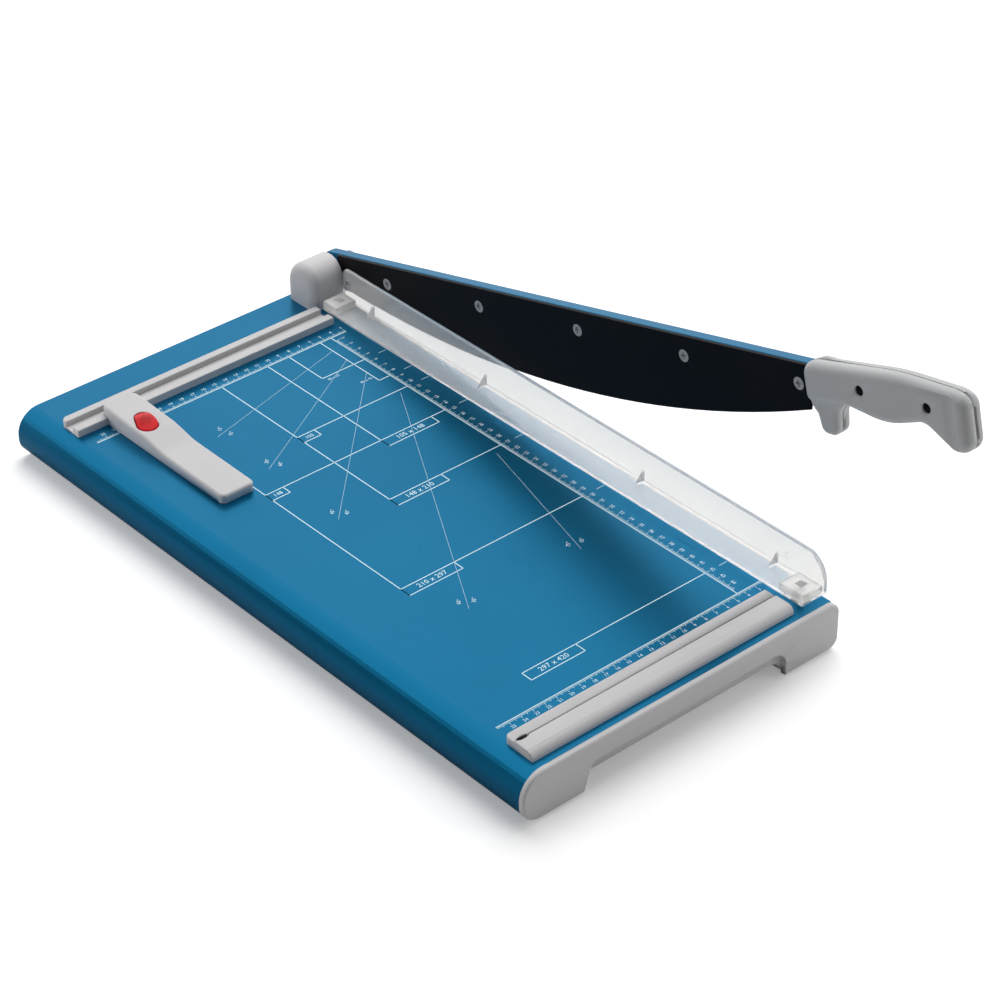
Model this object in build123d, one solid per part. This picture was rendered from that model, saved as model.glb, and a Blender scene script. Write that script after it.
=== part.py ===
from build123d import *
import math
import os

# A lever paper cutter. X runs across the table to the cutting edge, Y along the blade to the pivot, Z up.
# Sizes are laid out from a point on the desk under the middle of the table. All lengths are in millimetres.

# Fits shared by all pieces
OVERRUN = 2.0
RUNNING_FIT = 0.05
SCREW_PLAY = 0.1
MOULD_PLAY = 0.2
SLIDE_PLAY = 0.3
QUARTER_TURN = 90.0
HEX_SIDES = 6

# Table
TABLE_LENGTH = 556.0
TABLE_WIDTH = 282.0
TABLE_HEIGHT = 38.0
SHEET = 2.0
NOSE_RADIUS = 19.0
NOSE_FOOT_RADIUS = 14.0
LIP_WIDTH = 34.0
FOOT_DROP = 1.5
REAR_SHELF = 57.0

# End caps
CAP_THICKNESS = 4.5
CAP_RIM = 0.5
CAP_ROUND = 1.8
CAP_SHOULDER_RADIUS = 9.0
CAP_HEEL_RADIUS = 8.0
CAP_OVERHANG = 0.4
PLUG_DEPTH = 8.0
ARCH_LEFT_INSET = 50.0
ARCH_RIGHT_INSET = 49.5
ARCH_SLANT = 7.0
ARCH_DROP = 15.0
LEDGE_DROP = 25.0
ARCH_LEFT_RADIUS = 8.0
ARCH_RIGHT_RADIUS = 12.0
CAP_SCREW_RADIUS = 1.75
CAP_SCREW_HEAD_RADIUS = 3.2
CAP_SCREW_HEAD = 1.4
CAP_SCREW_GRIP = 7.0
CAP_SCREW_LEFT_INSET = 20.0
CAP_SCREW_RIGHT_INSET = 22.0

# Rubber feet
FOOT_RADIUS = 9.0
FOOT_ROUND = 0.75
FOOT_STEM_RADIUS = 4.0
FOOT_BARB_RADIUS = 5.5
FOOT_BARB = 2.5
FOOT_INSET = 22.0
FOOT_END_INSET = 34.0

# Counter knife and the beam behind it
KNIFE_THICKNESS = 4.0
KNIFE_DEPTH = 20.0
KNIFE_FRONT_INSET = 15.0
KNIFE_BEHIND_STOP = 18.0
KNIFE_SCREW_RADIUS = 2.5
KNIFE_SCREW_HEAD_RADIUS = 4.6
KNIFE_SCREW_HEAD = 2.4
KNIFE_SCREW_DROP = 11.0
KNIFE_SCREW_GRIP = 8.0
KNIFE_SCREW_SHARES = (0.04, 0.27, 0.5, 0.73, 0.96)
BEAM_WIDTH = 16.0
BEAM_DEPTH = 22.0
BEAM_END_GAP = 1.0

# Pivot
PIVOT_BEHIND_STOP = 40.0
PIVOT_RISE = 17.3
PIVOT_RADIUS = 5.0
BRACKET_WIDTH = 26.0
BRACKET_THICKNESS = 9.0
BRACKET_EDGE_GAP = 5.0
BRACKET_FOOT_REACH = 17.0
BRACKET_FOOT = 7.0
BRACKET_CROWN = 12.0
BRACKET_BOLT_RADIUS = 2.5
BRACKET_BOLT_GRIP = 6.0
BRACKET_BOLT_HEAD = 4.0
BRACKET_BOLT_FLATS = 8.0
BRACKET_BOLT_PITCH = 13.0
BRACKET_BOLT_SETBACK = 4.5
BOLT_HEAD = 6.0
BOLT_FLATS = 16.0
BOLT_TAIL = 1.0
SPACER_RADIUS = 9.0
BUSH_WALL = 2.0
FRICTION_WASHER = 1.5
FRICTION_WASHER_RADIUS = 12.0
DISC_SPRING = 1.0
DISC_SPRING_CONE = 1.0
DISC_SPRING_RADIUS = 10.0
NUT_HEIGHT = 8.0
NUT_FLATS = 17.0

# Pivot cover
COVER_WIDTH = 29.5
COVER_EDGE_GAP = 2.0
COVER_BEHIND_STOP = 22.8
COVER_HEIGHT = 34.5
COVER_WALL = 2.5
COVER_SIDE_WALL = 6.5
COVER_FRONT_RADIUS = 15.0
COVER_REAR_RADIUS = 19.0
COVER_ROUND = 8.0

# Rear guide rail and front guide strip
RAIL_LENGTH = 236.0
RAIL_EDGE_GAP = 30.0
RAIL_WIDTH = 22.5
RAIL_HEIGHT = 6.0
RAIL_FENCE = 7.0
RAIL_SLOT = 9.0
RAIL_FLOOR = 1.5
RAIL_CORNER = 5.0
RAIL_ROUND = 0.8
STRIP_LENGTH = 232.0
STRIP_EDGE_GAP = 33.0
STRIP_WIDTH = 27.8
STRIP_HEIGHT = 6.4
STRIP_REAR_HEIGHT = 5.5
STRIP_FRONT_INSET = 6.6
STRIP_SLIT = 2.0
STRIP_SLIT_DEPTH = 5.4
STRIP_SLIT_INSET = 10.0
STRIP_MOUTH_LENGTH = 11.0
STRIP_MOUTH_WIDTH = 4.6
STRIP_MOUTH_INSET = 1.5
STRIP_TAIL_RADIUS = 5.0
STRIP_ROUND = 5.5
STRIP_EDGE_ROUND = 1.2
RAIL_SCREW_RADIUS = 1.5
RAIL_SCREW_HEAD_RADIUS = 3.0
RAIL_SCREW_HEAD = 2.0
RAIL_SCREW_GRIP = 4.0
RAIL_SCREW_SHARES = (0.08, 0.5, 0.92)

# Guard
GUARD_WIDTH = 24.0
GUARD_EDGE_GAP = 2.5
GUARD_HEIGHT = 32.0
GUARD_FLANGE = 2.5
GUARD_WEB = 3.0
GUARD_LIFT = 3.0
GUARD_BEHIND_STOP = 18.0
GUARD_FRONT_INSET = 6.0
GUARD_FRONT_RADIUS = 20.0
GUARD_REAR_RADIUS = 5.0
GUARD_CORNER = 1.2
GUARD_EDGE_ROUND = 0.8
RIB_THICKNESS = 1.4
RIB_HEIGHT = 10.0
RIB_REACH = 8.5
RIB_PLACE_SHARES = (0.072, 0.327, 0.6575, 0.915)
BLOCK_WIDTH = 19.0
BLOCK_HEIGHT = 6.0
BLOCK_ROUND = 1.5
REAR_BLOCK_LENGTH = 16.0
FRONT_BLOCK_LENGTH = 22.0
WEB_SLOT_INSET = 3.6
WEB_SLOT_LENGTH = 4.0
WEB_SLOT_HEIGHT = 6.0
WEB_SLOT_DROP = 15.5
WEB_SLOT_CORNER = 1.2
PIN_EDGE_GAP = 16.0
PIN_RADIUS = 2.0
PIN_HEAD = 1.2
PIN_HEAD_SIDE = 5.6
PIN_HEAD_PLAY = 0.3
PIN_TAIL = 9.0
SPRING_POCKET_RADIUS = 4.2
SPRING_POCKET_DEPTH = 3.2
GUARD_SPRING_RADIUS = 3.0
GUARD_SPRING_WIRE = 0.8
GUARD_SPRING_TURNS = 4
COIL_STEPS = 4
COIL_CHECKS = 24

# Arm and blade, measured along the arm from the pivot and across it from the pivot's centre line
REST_ANGLE = 15.0
ARM_GAP = 3.0
ARM_THICKNESS = 8.0
ARM_DEPTH = 30.0
ARM_LENGTH = 521.0
ARM_ROUND = 0.8
TANG_LENGTH = 118.0
TANG_TOP = 10.0
TANG_BOTTOM = 5.0
BLADE_GAP = 0.15
BLADE_START = 12.0
BLADE_END_GAP = 0.5
BLADE_TOP_INSET = 0.3
BLADE_RADIUS = 970.0
BLADE_BELLY_SHARE = 0.5374
BLADE_BELLY_DEPTH = 47.4
BLADE_BEVEL = 1.6
BLADE_BEVEL_HEIGHT = 5.0
BLADE_SCREW_RADIUS = 2.5
BLADE_SCREW_HEAD_RADIUS = 4.6
BLADE_SCREW_HEAD = 2.4
BLADE_SCREW_GRIP = 6.0
BLADE_SCREW_FIRST = 71.0
BLADE_SCREW_END = 8.8
BLADE_SCREW_COUNT = 5
CROSS_WIDTH = 1.1
CROSS_SPAN = 5.0
CROSS_DEPTH = 1.2

# Handle, in shares of its length and its depth along the arm's centre line
HANDLE_LENGTH = 138.5
HANDLE_DEPTH = 54.0
HANDLE_START_GAP = 0.5
HANDLE_WIDTH = 18.4
HANDLE_ROUND = 6.5
COLLAR_WIDTH = 17.2
COLLAR_ROUND = 4.0
FINGER_CAP_GAP = 0.2
FINGER_RIGHT_REACH = 8.4
FINGER_ROUND = 4.2
FINGER_BLEND = 6.0
SEAM_GAP = 0.7
# Grip corners from the arm's end, top first, and the radius of each in shares of the depth
GRIP_CORNER_SHARES = (
    (0.0, 0.29), (0.036, 0.322), (0.567, 0.413), (0.928, 0.344), (1.0, 0.263),
    (0.996, -0.407), (0.892, -0.422), (0.726, -0.13), (0.48, -0.281), (0.22, -0.15), (0.0, -0.204))
GRIP_RADIUS_SHARES = (0.0, 0.1, 3.6, 0.4, 0.175, 0.18, 0.185, 0.26, 1.1, 0.5, 0.0)
COLLAR_CORNER_SHARES = (
    (0.0, 0.24), (0.04, 0.335), (0.112, 0.335), (0.191, 0.296), (0.191, -0.15), (0.0, -0.204))
COLLAR_RADIUS_SHARES = (0.0, 0.11, 0.167, 0.1, 0.1, 0.0)
FINGER_CORNER_SHARES = (
    (0.0, 0.1), (0.45, 0.1), (0.45, -0.1), (0.22, -0.12), (0.155, -0.296),
    (0.134, -0.63), (0.033, -0.62), (0.018, -0.37), (0.0, -0.315))
FINGER_RADIUS_SHARES = (0.0, 0.0, 0.0, 0.18, 0.22, 0.12, 0.12, 0.07, 0.0)
HANDLE_SCREW_SHARES = ((0.35, 0.117), (0.769, 0.098))
HANDLE_SCREW_RADIUS = 2.0
HANDLE_SCREW_HEAD_RADIUS = 3.7
HANDLE_SCREW_HEAD = 2.5
HANDLE_SCREW_SINK = 1.2
HANDLE_NUT_PLAY = 0.2
HANDLE_NUT_FLATS = 7.0
HANDLE_NUT_HEIGHT = 3.0
HANDLE_NUT_SINK = 0.8
FLUTE_DEPTH = 1.3
FLUTE_RADIUS = 12.0
FLUTE_SHARE = 0.905

# Backstop
STOP_RAIL_INSET = 39.4
STOP_WIDTH = 29.3
STOP_LEFT_REACH = 13.3
STOP_REACH = 138.0
STOP_HEAD_LENGTH = 6.0
STOP_HEAD_HEIGHT = 13.5
STOP_BROW_AT = 44.0
STOP_BROW_HEIGHT = 11.95
STOP_BROW_ROUND = 30.0
STOP_ARM_START = 66.0
STOP_ARM_HEIGHT = 7.7
STOP_ARM_ROUND = 60.0
STOP_TIP_HEIGHT = 7.3
STOP_BEHIND = 9.5
STOP_CORNER = 5.0
STOP_REAR_CORNER = 7.0
STOP_ROUND = 2.2
TONGUE_INNER = 5.8
TONGUE_OUTER = 9.0
TONGUE_THICKNESS = 1.7
TONGUE_DROP = 4.0
PLATE_THICKNESS = 1.0
PLATE_WIDTH = 24.0
PLATE_LENGTH = 44.0
PLATE_REAR_INSET = 2.0
POCKET_WIDTH = 10.4
POCKET_FRONT = 40.0
POCKET_LOW_ROOF = 9.5
POCKET_HIGH_ROOF = 11.5
BUTTON_AT = 30.6
BUTTON_FRONT_RADIUS = 7.6
BUTTON_FRONT_SIDE = 2.5
BUTTON_FRONT_REACH = 4.4
BUTTON_REAR_RADIUS = 6.0
BUTTON_REAR_SIDE = 0.6
BUTTON_REAR_REACH = 5.7
BUTTON_PLAY = 0.8
BUTTON_CROWN = 1.8
BUTTON_DOME_RADIUS = 26.0
BUTTON_FLANGE = 1.2
BUTTON_FLANGE_WIDTH = 1.4
BUTTON_SEAT = 10.85
BUTTON_STEM_RADIUS = 2.0
LEVER_WIDTH = 8.0
LEVER_THICKNESS = 1.6
LEVER_RISE = 6.6
LEVER_FRONT = 36.0
LEVER_REAR = 9.5
LEVER_PAD = 2.2
LEVER_PAD_GAP = 0.3
LEVER_PIVOT_AT = 10.6
LEVER_PIVOT_RISE = 6.0
LEVER_KNUCKLE_RADIUS = 2.2
LEVER_PIN_RADIUS = 1.0
LEVER_PIN_LENGTH = 22.0
BUTTON_SPRING_RADIUS = 2.4
BUTTON_SPRING_WIRE = 0.6
BUTTON_SPRING_TURNS = 4

# Places worked out from the sizes
edge_x = TABLE_WIDTH / 2
left_x = -TABLE_WIDTH / 2
flange_x = edge_x - KNIFE_THICKNESS
beam_right = flange_x - SHEET
front_y = -TABLE_LENGTH / 2
rear_y = TABLE_LENGTH / 2
stop_y = rear_y - REAR_SHELF
top_z = TABLE_HEIGHT
base_z = FOOT_DROP
lip_top = base_z + SHEET
under_top = top_z - SHEET
pivot_y = stop_y + PIVOT_BEHIND_STOP
pivot_z = top_z + PIVOT_RISE
arm_left = edge_x + ARM_GAP
arm_right = arm_left + ARM_THICKNESS
arm_pose = Pos(0, pivot_y, pivot_z) * Rot(-REST_ANGLE, 0, 0)
bracket_right = edge_x - BRACKET_EDGE_GAP
bracket_left = bracket_right - BRACKET_THICKNESS
beam_x = beam_right - BEAM_WIDTH / 2
rail_right = edge_x - RAIL_EDGE_GAP
rail_left = rail_right - RAIL_LENGTH
strip_right = edge_x - STRIP_EDGE_GAP
strip_left = strip_right - STRIP_LENGTH
strip_front = front_y + STRIP_FRONT_INSET
strip_rear = strip_front + STRIP_WIDTH
guard_right = edge_x - GUARD_EDGE_GAP
guard_left = guard_right - GUARD_WIDTH
guard_front = front_y + GUARD_FRONT_INSET
guard_rear = stop_y + GUARD_BEHIND_STOP
guard_length = guard_rear - guard_front
flange_top = top_z + GUARD_LIFT + GUARD_FLANGE
block_top = flange_top + BLOCK_HEIGHT
pin_seat_z = block_top - PIN_HEAD - RUNNING_FIT
pin_x = edge_x - PIN_EDGE_GAP
rear_pin_y = guard_rear - REAR_BLOCK_LENGTH / 2
front_pin_y = guard_front + FRONT_BLOCK_LENGTH / 2
seam_x = (arm_left + arm_right) / 2
finger_left_reach = seam_x - edge_x - CAP_OVERHANG - FINGER_CAP_GAP
blade_end = ARM_LENGTH - BLADE_END_GAP
belly_at = BLADE_BELLY_SHARE * ARM_LENGTH
stop_x = rail_left + STOP_RAIL_INSET
button_y = stop_y - BUTTON_AT
lever_y = stop_y - LEVER_PIVOT_AT
plate_z = top_z + SLIDE_PLAY
lever_z = top_z + LEVER_RISE
button_seat_z = top_z + BUTTON_SEAT


def block(x0, x1, y0, y1, z0, z1):
    return Pos((x0 + x1) / 2, (y0 + y1) / 2, (z0 + z1) / 2) * Box(x1 - x0, y1 - y0, z1 - z0)


def rod_x(radius, x0, x1, y, z):
    return Pos((x0 + x1) / 2, y, z) * Rot(0, QUARTER_TURN, 0) * Cylinder(radius, x1 - x0)


def rod_z(radius, z0, z1, x, y):
    return Pos(x, y, (z0 + z1) / 2) * Cylinder(radius, z1 - z0)


def cone_x(radius0, radius1, x0, x1, y, z):
    return Pos((x0 + x1) / 2, y, z) * Rot(0, QUARTER_TURN, 0) * Cone(radius0, radius1, x1 - x0)


def hex_x(flats, x0, x1, y, z):
    outline = RegularPolygon(flats / 2, HEX_SIDES, major_radius=False)
    return Pos(x0, y, z) * extrude(Plane.YZ * outline, amount=x1 - x0)


def hex_z(flats, z0, z1, x, y):
    return Pos(x, y, z0) * extrude(RegularPolygon(flats / 2, HEX_SIDES, major_radius=False), amount=z1 - z0)


def rounded_face(corners, radii):
    return make_face(FilletPolyline(*corners, radius=list(radii), close=True))


def slab_y(outline, y0, y1):
    # An outline in X and Z, made solid from y1 back to y0
    return Pos(0, y1, 0) * extrude(Plane.XZ * outline, amount=y1 - y0)


def slab_x(outline, x0, x1):
    # An outline in Y and Z, made solid from x0 to x1
    return Pos(x0, 0, 0) * extrude(Plane.YZ * outline, amount=x1 - x0)


def edges_at(shape, axis, place):
    return shape.edges().filter_by_position(axis, place - RUNNING_FIT, place + RUNNING_FIT)


def rail_screw_places():
    rail_y = stop_y + RAIL_FENCE + RAIL_SLOT + (RAIL_WIDTH - RAIL_FENCE - RAIL_SLOT) / 2
    strip_y = (strip_front + strip_rear - STRIP_SLIT_INSET) / 2
    places = [(rail_left + share * RAIL_LENGTH, rail_y) for share in RAIL_SCREW_SHARES]
    return places + [(strip_left + share * STRIP_LENGTH, strip_y) for share in RAIL_SCREW_SHARES]


def cap_screw_places():
    across = (left_x + CAP_SCREW_LEFT_INSET, edge_x - CAP_SCREW_RIGHT_INSET)
    along = (front_y + PLUG_DEPTH / 2, rear_y - PLUG_DEPTH / 2)
    return [(x, y) for x in across for y in along]


def foot_places():
    return {
        "foot_front_left": (left_x + FOOT_INSET, front_y + FOOT_END_INSET),
        "foot_front_right": (flange_x - FOOT_INSET, front_y + FOOT_END_INSET),
        "foot_rear_left": (left_x + FOOT_INSET, rear_y - FOOT_END_INSET),
        "foot_rear_right": (flange_x - FOOT_INSET, rear_y - FOOT_END_INSET)}


def knife_screw_places():
    front = front_y + KNIFE_FRONT_INSET
    span = stop_y + KNIFE_BEHIND_STOP - front
    return [front + share * span for share in KNIFE_SCREW_SHARES]


def bracket_bolt_places():
    middle = pivot_y - BRACKET_BOLT_SETBACK
    return [middle - BRACKET_BOLT_PITCH / 2, middle + BRACKET_BOLT_PITCH / 2]


def pin_places():
    return [front_pin_y, rear_pin_y]


# Table and caps

def table_top():
    outer = rounded_face(
        [(left_x, base_z), (left_x, top_z), (flange_x, top_z), (flange_x, base_z)],
        [NOSE_FOOT_RADIUS, NOSE_RADIUS, 0, 0])
    inner = rounded_face(
        [(left_x + SHEET, lip_top), (left_x + SHEET, under_top),
         (beam_right, under_top), (beam_right, lip_top)],
        [NOSE_FOOT_RADIUS - SHEET, NOSE_RADIUS - SHEET, 0, 0])
    body = slab_y(outer - inner, front_y, rear_y)
    body -= block(left_x + LIP_WIDTH, flange_x - LIP_WIDTH, front_y, rear_y,
                  base_z - OVERRUN, lip_top + OVERRUN)
    for x, y in rail_screw_places():
        body -= rod_z(RAIL_SCREW_RADIUS + SCREW_PLAY, under_top - OVERRUN, top_z + OVERRUN, x, y)
    for x, y in cap_screw_places():
        body -= rod_z(CAP_SCREW_HEAD_RADIUS + SCREW_PLAY, base_z - OVERRUN, lip_top + OVERRUN, x, y)
    for x, y in foot_places().values():
        body -= rod_z(FOOT_STEM_RADIUS + SCREW_PLAY, base_z - OVERRUN, lip_top + OVERRUN, x, y)
    for y in knife_screw_places():
        body -= rod_x(KNIFE_SCREW_RADIUS + SCREW_PLAY, beam_right - OVERRUN, flange_x + OVERRUN,
                      y, top_z - KNIFE_SCREW_DROP)
    for y in bracket_bolt_places():
        body -= rod_z(BRACKET_BOLT_RADIUS + SCREW_PLAY, under_top - OVERRUN, top_z + OVERRUN, beam_x, y)
    for y in pin_places():
        body -= rod_z(PIN_RADIUS + RUNNING_FIT, under_top - OVERRUN, top_z + OVERRUN, pin_x, y)
    return body


def arch_outline(crown_z):
    left = left_x + ARCH_LEFT_INSET
    right = edge_x - ARCH_RIGHT_INSET
    return rounded_face(
        [(left, base_z - OVERRUN), (left + ARCH_SLANT, crown_z), (right, crown_z), (right, base_z - OVERRUN)],
        [0, ARCH_LEFT_RADIUS, ARCH_RIGHT_RADIUS, 0])


def front_end_cap():
    plate_face = rounded_face(
        [(left_x - CAP_RIM, base_z), (left_x - CAP_RIM, top_z + CAP_RIM),
         (edge_x + CAP_OVERHANG, top_z + CAP_RIM), (edge_x + CAP_OVERHANG, base_z)],
        [NOSE_FOOT_RADIUS, NOSE_RADIUS, CAP_SHOULDER_RADIUS, CAP_HEEL_RADIUS])
    cap_front = front_y - CAP_THICKNESS
    plate = slab_y(plate_face, cap_front, front_y)
    plate = fillet(edges_at(plate, Axis.Y, cap_front), CAP_ROUND)
    plate -= slab_y(arch_outline(top_z - ARCH_DROP), cap_front - OVERRUN, front_y)
    return plate + cap_plug(front_y, front_y + PLUG_DEPTH)


def cap_plug(y0, y1):
    # The part of a cap that sits inside the bent sheet
    inset = SHEET + MOULD_PLAY
    plug_face = rounded_face(
        [(left_x + inset, base_z + inset), (left_x + inset, top_z - inset),
         (flange_x - inset, top_z - inset), (flange_x - inset, base_z + inset)],
        [NOSE_FOOT_RADIUS - inset, NOSE_RADIUS - inset, 0, 0])
    plug = slab_y(plug_face, y0, y1)
    plug -= slab_y(arch_outline(top_z - LEDGE_DROP), y0 - OVERRUN, y1 + OVERRUN)
    for x, y in cap_screw_places():
        plug -= rod_z(CAP_SCREW_RADIUS + SCREW_PLAY, base_z, lip_top + CAP_SCREW_GRIP, x, y)
    return plug


def rear_end_cap():
    return cap_plug(rear_y - PLUG_DEPTH, rear_y)


def end_cap_screws():
    screws = []
    for x, y in cap_screw_places():
        head = Pos(x, y, base_z + CAP_SCREW_HEAD / 2) * Cylinder(CAP_SCREW_HEAD_RADIUS, CAP_SCREW_HEAD)
        shank = rod_z(CAP_SCREW_RADIUS, base_z, lip_top + CAP_SCREW_GRIP - SCREW_PLAY, x, y)
        screws.append(head + shank)
    return screws


def rubber_foot(x, y):
    pad = fillet(edges_at(rod_z(FOOT_RADIUS, 0, base_z, x, y), Axis.Z, 0), FOOT_ROUND)
    stem = rod_z(FOOT_STEM_RADIUS, 0, lip_top + FOOT_BARB, x, y)
    barb = Pos(x, y, lip_top + FOOT_BARB / 2) * Cone(FOOT_BARB_RADIUS, FOOT_STEM_RADIUS, FOOT_BARB)
    return pad + stem + barb


# Counter knife and beam

def knife_screw(x_face, y, z, grip, radius, head_radius, head):
    # A countersunk screw that goes in along minus X from a face
    cone = cone_x(radius, head_radius, x_face - head, x_face, y, z)
    return cone + rod_x(radius, x_face - grip, x_face, y, z)


def counter_knife():
    body = block(flange_x, edge_x, front_y + KNIFE_FRONT_INSET, stop_y + KNIFE_BEHIND_STOP,
                 top_z - KNIFE_DEPTH, top_z)
    for y in knife_screw_places():
        z = top_z - KNIFE_SCREW_DROP
        body -= knife_screw(edge_x, y, z, KNIFE_THICKNESS + OVERRUN, KNIFE_SCREW_RADIUS + SCREW_PLAY,
                            KNIFE_SCREW_HEAD_RADIUS + SCREW_PLAY, KNIFE_SCREW_HEAD + SCREW_PLAY)
    return body


def counter_knife_screws():
    grip = KNIFE_THICKNESS + SHEET + KNIFE_SCREW_GRIP
    return [knife_screw(edge_x - SCREW_PLAY, y, top_z - KNIFE_SCREW_DROP, grip, KNIFE_SCREW_RADIUS,
                        KNIFE_SCREW_HEAD_RADIUS, KNIFE_SCREW_HEAD) for y in knife_screw_places()]


def knife_beam():
    end_inset = PLUG_DEPTH + BEAM_END_GAP
    body = block(beam_right - BEAM_WIDTH, beam_right, front_y + end_inset, rear_y - end_inset,
                 under_top - BEAM_DEPTH, under_top)
    for y in knife_screw_places():
        body -= rod_x(KNIFE_SCREW_RADIUS + SCREW_PLAY, beam_right - KNIFE_SCREW_GRIP - SCREW_PLAY,
                      beam_right + OVERRUN, y, top_z - KNIFE_SCREW_DROP)
    for y in bracket_bolt_places():
        body -= rod_z(BRACKET_BOLT_RADIUS + SCREW_PLAY, under_top - BEAM_DEPTH - OVERRUN, under_top + OVERRUN,
                      beam_x, y)
    for y in pin_places():
        body -= rod_z(PIN_RADIUS + RUNNING_FIT, under_top - PIN_TAIL - RUNNING_FIT, under_top + OVERRUN,
                      pin_x, y)
    return body


# Pivot

def pivot_bracket():
    half = BRACKET_WIDTH / 2
    crown = PIVOT_RISE + BRACKET_CROWN
    upright = slab_x(rounded_face(
        [(pivot_y - half, top_z), (pivot_y - half, top_z + crown), (pivot_y + half, top_z + crown),
         (pivot_y + half, top_z)], [0, BRACKET_CROWN, BRACKET_CROWN, 0]), bracket_left, bracket_right)
    foot = block(bracket_right - BRACKET_FOOT_REACH, bracket_right, pivot_y - half, pivot_y + half,
                 top_z, top_z + BRACKET_FOOT)
    body = upright + foot
    body -= rod_x(PIVOT_RADIUS + RUNNING_FIT, bracket_left - OVERRUN, bracket_right + OVERRUN,
                  pivot_y, pivot_z)
    for y in bracket_bolt_places():
        body -= rod_z(BRACKET_BOLT_RADIUS + SCREW_PLAY, top_z - OVERRUN, top_z + BRACKET_BOLT_GRIP, beam_x, y)
    return body


def bracket_bolts():
    bolts = []
    head_top = under_top - BEAM_DEPTH
    for y in bracket_bolt_places():
        head = hex_z(BRACKET_BOLT_FLATS, head_top - BRACKET_BOLT_HEAD, head_top, beam_x, y)
        tip = top_z + BRACKET_BOLT_GRIP - SCREW_PLAY
        bolts.append(head + rod_z(BRACKET_BOLT_RADIUS, head_top, tip, beam_x, y))
    return bolts


def cover_outline(inset):
    front = stop_y + COVER_BEHIND_STOP + inset
    rear = rear_y - inset
    crown = top_z + COVER_HEIGHT - inset
    return rounded_face(
        [(front, top_z), (front, crown), (rear, crown), (rear, top_z)],
        [0, COVER_FRONT_RADIUS - inset, COVER_REAR_RADIUS - inset, 0])


def pivot_cover():
    right = edge_x - COVER_EDGE_GAP
    left = right - COVER_WIDTH
    shell = slab_x(cover_outline(0), left, right)
    crown_edges = [edge for edge in edges_at(shell, Axis.X, left) if edge.center().Z > top_z + RUNNING_FIT]
    shell = fillet(crown_edges, COVER_ROUND)
    shell -= slab_x(cover_outline(COVER_WALL), left + COVER_SIDE_WALL, right - COVER_WALL)
    shell -= rod_x(SPACER_RADIUS + MOULD_PLAY, right - COVER_WALL - OVERRUN, right + OVERRUN,
                   pivot_y, pivot_z)
    return shell


def pivot_bolt():
    head = hex_x(BOLT_FLATS, bracket_left - BOLT_HEAD, bracket_left, pivot_y, pivot_z)
    stack = RUNNING_FIT + FRICTION_WASHER + DISC_SPRING + DISC_SPRING_CONE + NUT_HEIGHT
    tip = arm_right + stack + BOLT_TAIL
    return head + rod_x(PIVOT_RADIUS, bracket_left - BOLT_HEAD / 2, tip, pivot_y, pivot_z)


def ring_x(outer, inner, x0, x1):
    return rod_x(outer, x0, x1, pivot_y, pivot_z) - rod_x(inner, x0 - OVERRUN, x1 + OVERRUN, pivot_y, pivot_z)


def pivot_spacer():
    return ring_x(SPACER_RADIUS, PIVOT_RADIUS + RUNNING_FIT, bracket_right, arm_left - RUNNING_FIT)


def pivot_bush():
    return ring_x(PIVOT_RADIUS + BUSH_WALL, PIVOT_RADIUS + RUNNING_FIT, arm_left, arm_right)


def friction_washer():
    start = arm_right + RUNNING_FIT
    return ring_x(FRICTION_WASHER_RADIUS, PIVOT_RADIUS + RUNNING_FIT, start, start + FRICTION_WASHER)


def disc_spring():
    start = arm_right + RUNNING_FIT + FRICTION_WASHER
    inner = PIVOT_RADIUS + RUNNING_FIT
    profile = make_face(Polyline(
        (start, DISC_SPRING_RADIUS), (start + DISC_SPRING, DISC_SPRING_RADIUS),
        (start + DISC_SPRING + DISC_SPRING_CONE, inner), (start + DISC_SPRING_CONE, inner), close=True))
    return Pos(0, pivot_y, pivot_z) * revolve(Plane.XZ * profile, axis=Axis.X)


def pivot_nut():
    start = arm_right + RUNNING_FIT + FRICTION_WASHER + DISC_SPRING + DISC_SPRING_CONE
    nut = hex_x(NUT_FLATS, start, start + NUT_HEIGHT, pivot_y, pivot_z)
    end = start + NUT_HEIGHT + OVERRUN
    return nut - rod_x(PIVOT_RADIUS + RUNNING_FIT, start - OVERRUN, end, pivot_y, pivot_z)


# Guide rail and strip

def rear_guide_rail():
    rear = stop_y + RAIL_WIDTH
    plan = rounded_face(
        [(rail_left, stop_y), (rail_right, stop_y), (rail_right, rear), (rail_left, rear)],
        [0, 0, 0, RAIL_CORNER])
    body = Pos(0, 0, top_z) * extrude(plan, amount=RAIL_HEIGHT)
    slot_front = stop_y + RAIL_FENCE
    body -= block(rail_left - OVERRUN, rail_right + OVERRUN, slot_front, slot_front + RAIL_SLOT,
                  top_z + RAIL_FLOOR, top_z + RAIL_HEIGHT + OVERRUN)
    body = fillet(edges_at(body, Axis.Z, top_z + RAIL_HEIGHT), RAIL_ROUND)
    for x, y in rail_screw_places()[:len(RAIL_SCREW_SHARES)]:
        body -= rod_z(RAIL_SCREW_RADIUS + SCREW_PLAY, top_z - OVERRUN, top_z + RAIL_SCREW_GRIP, x, y)
    return body


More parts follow.
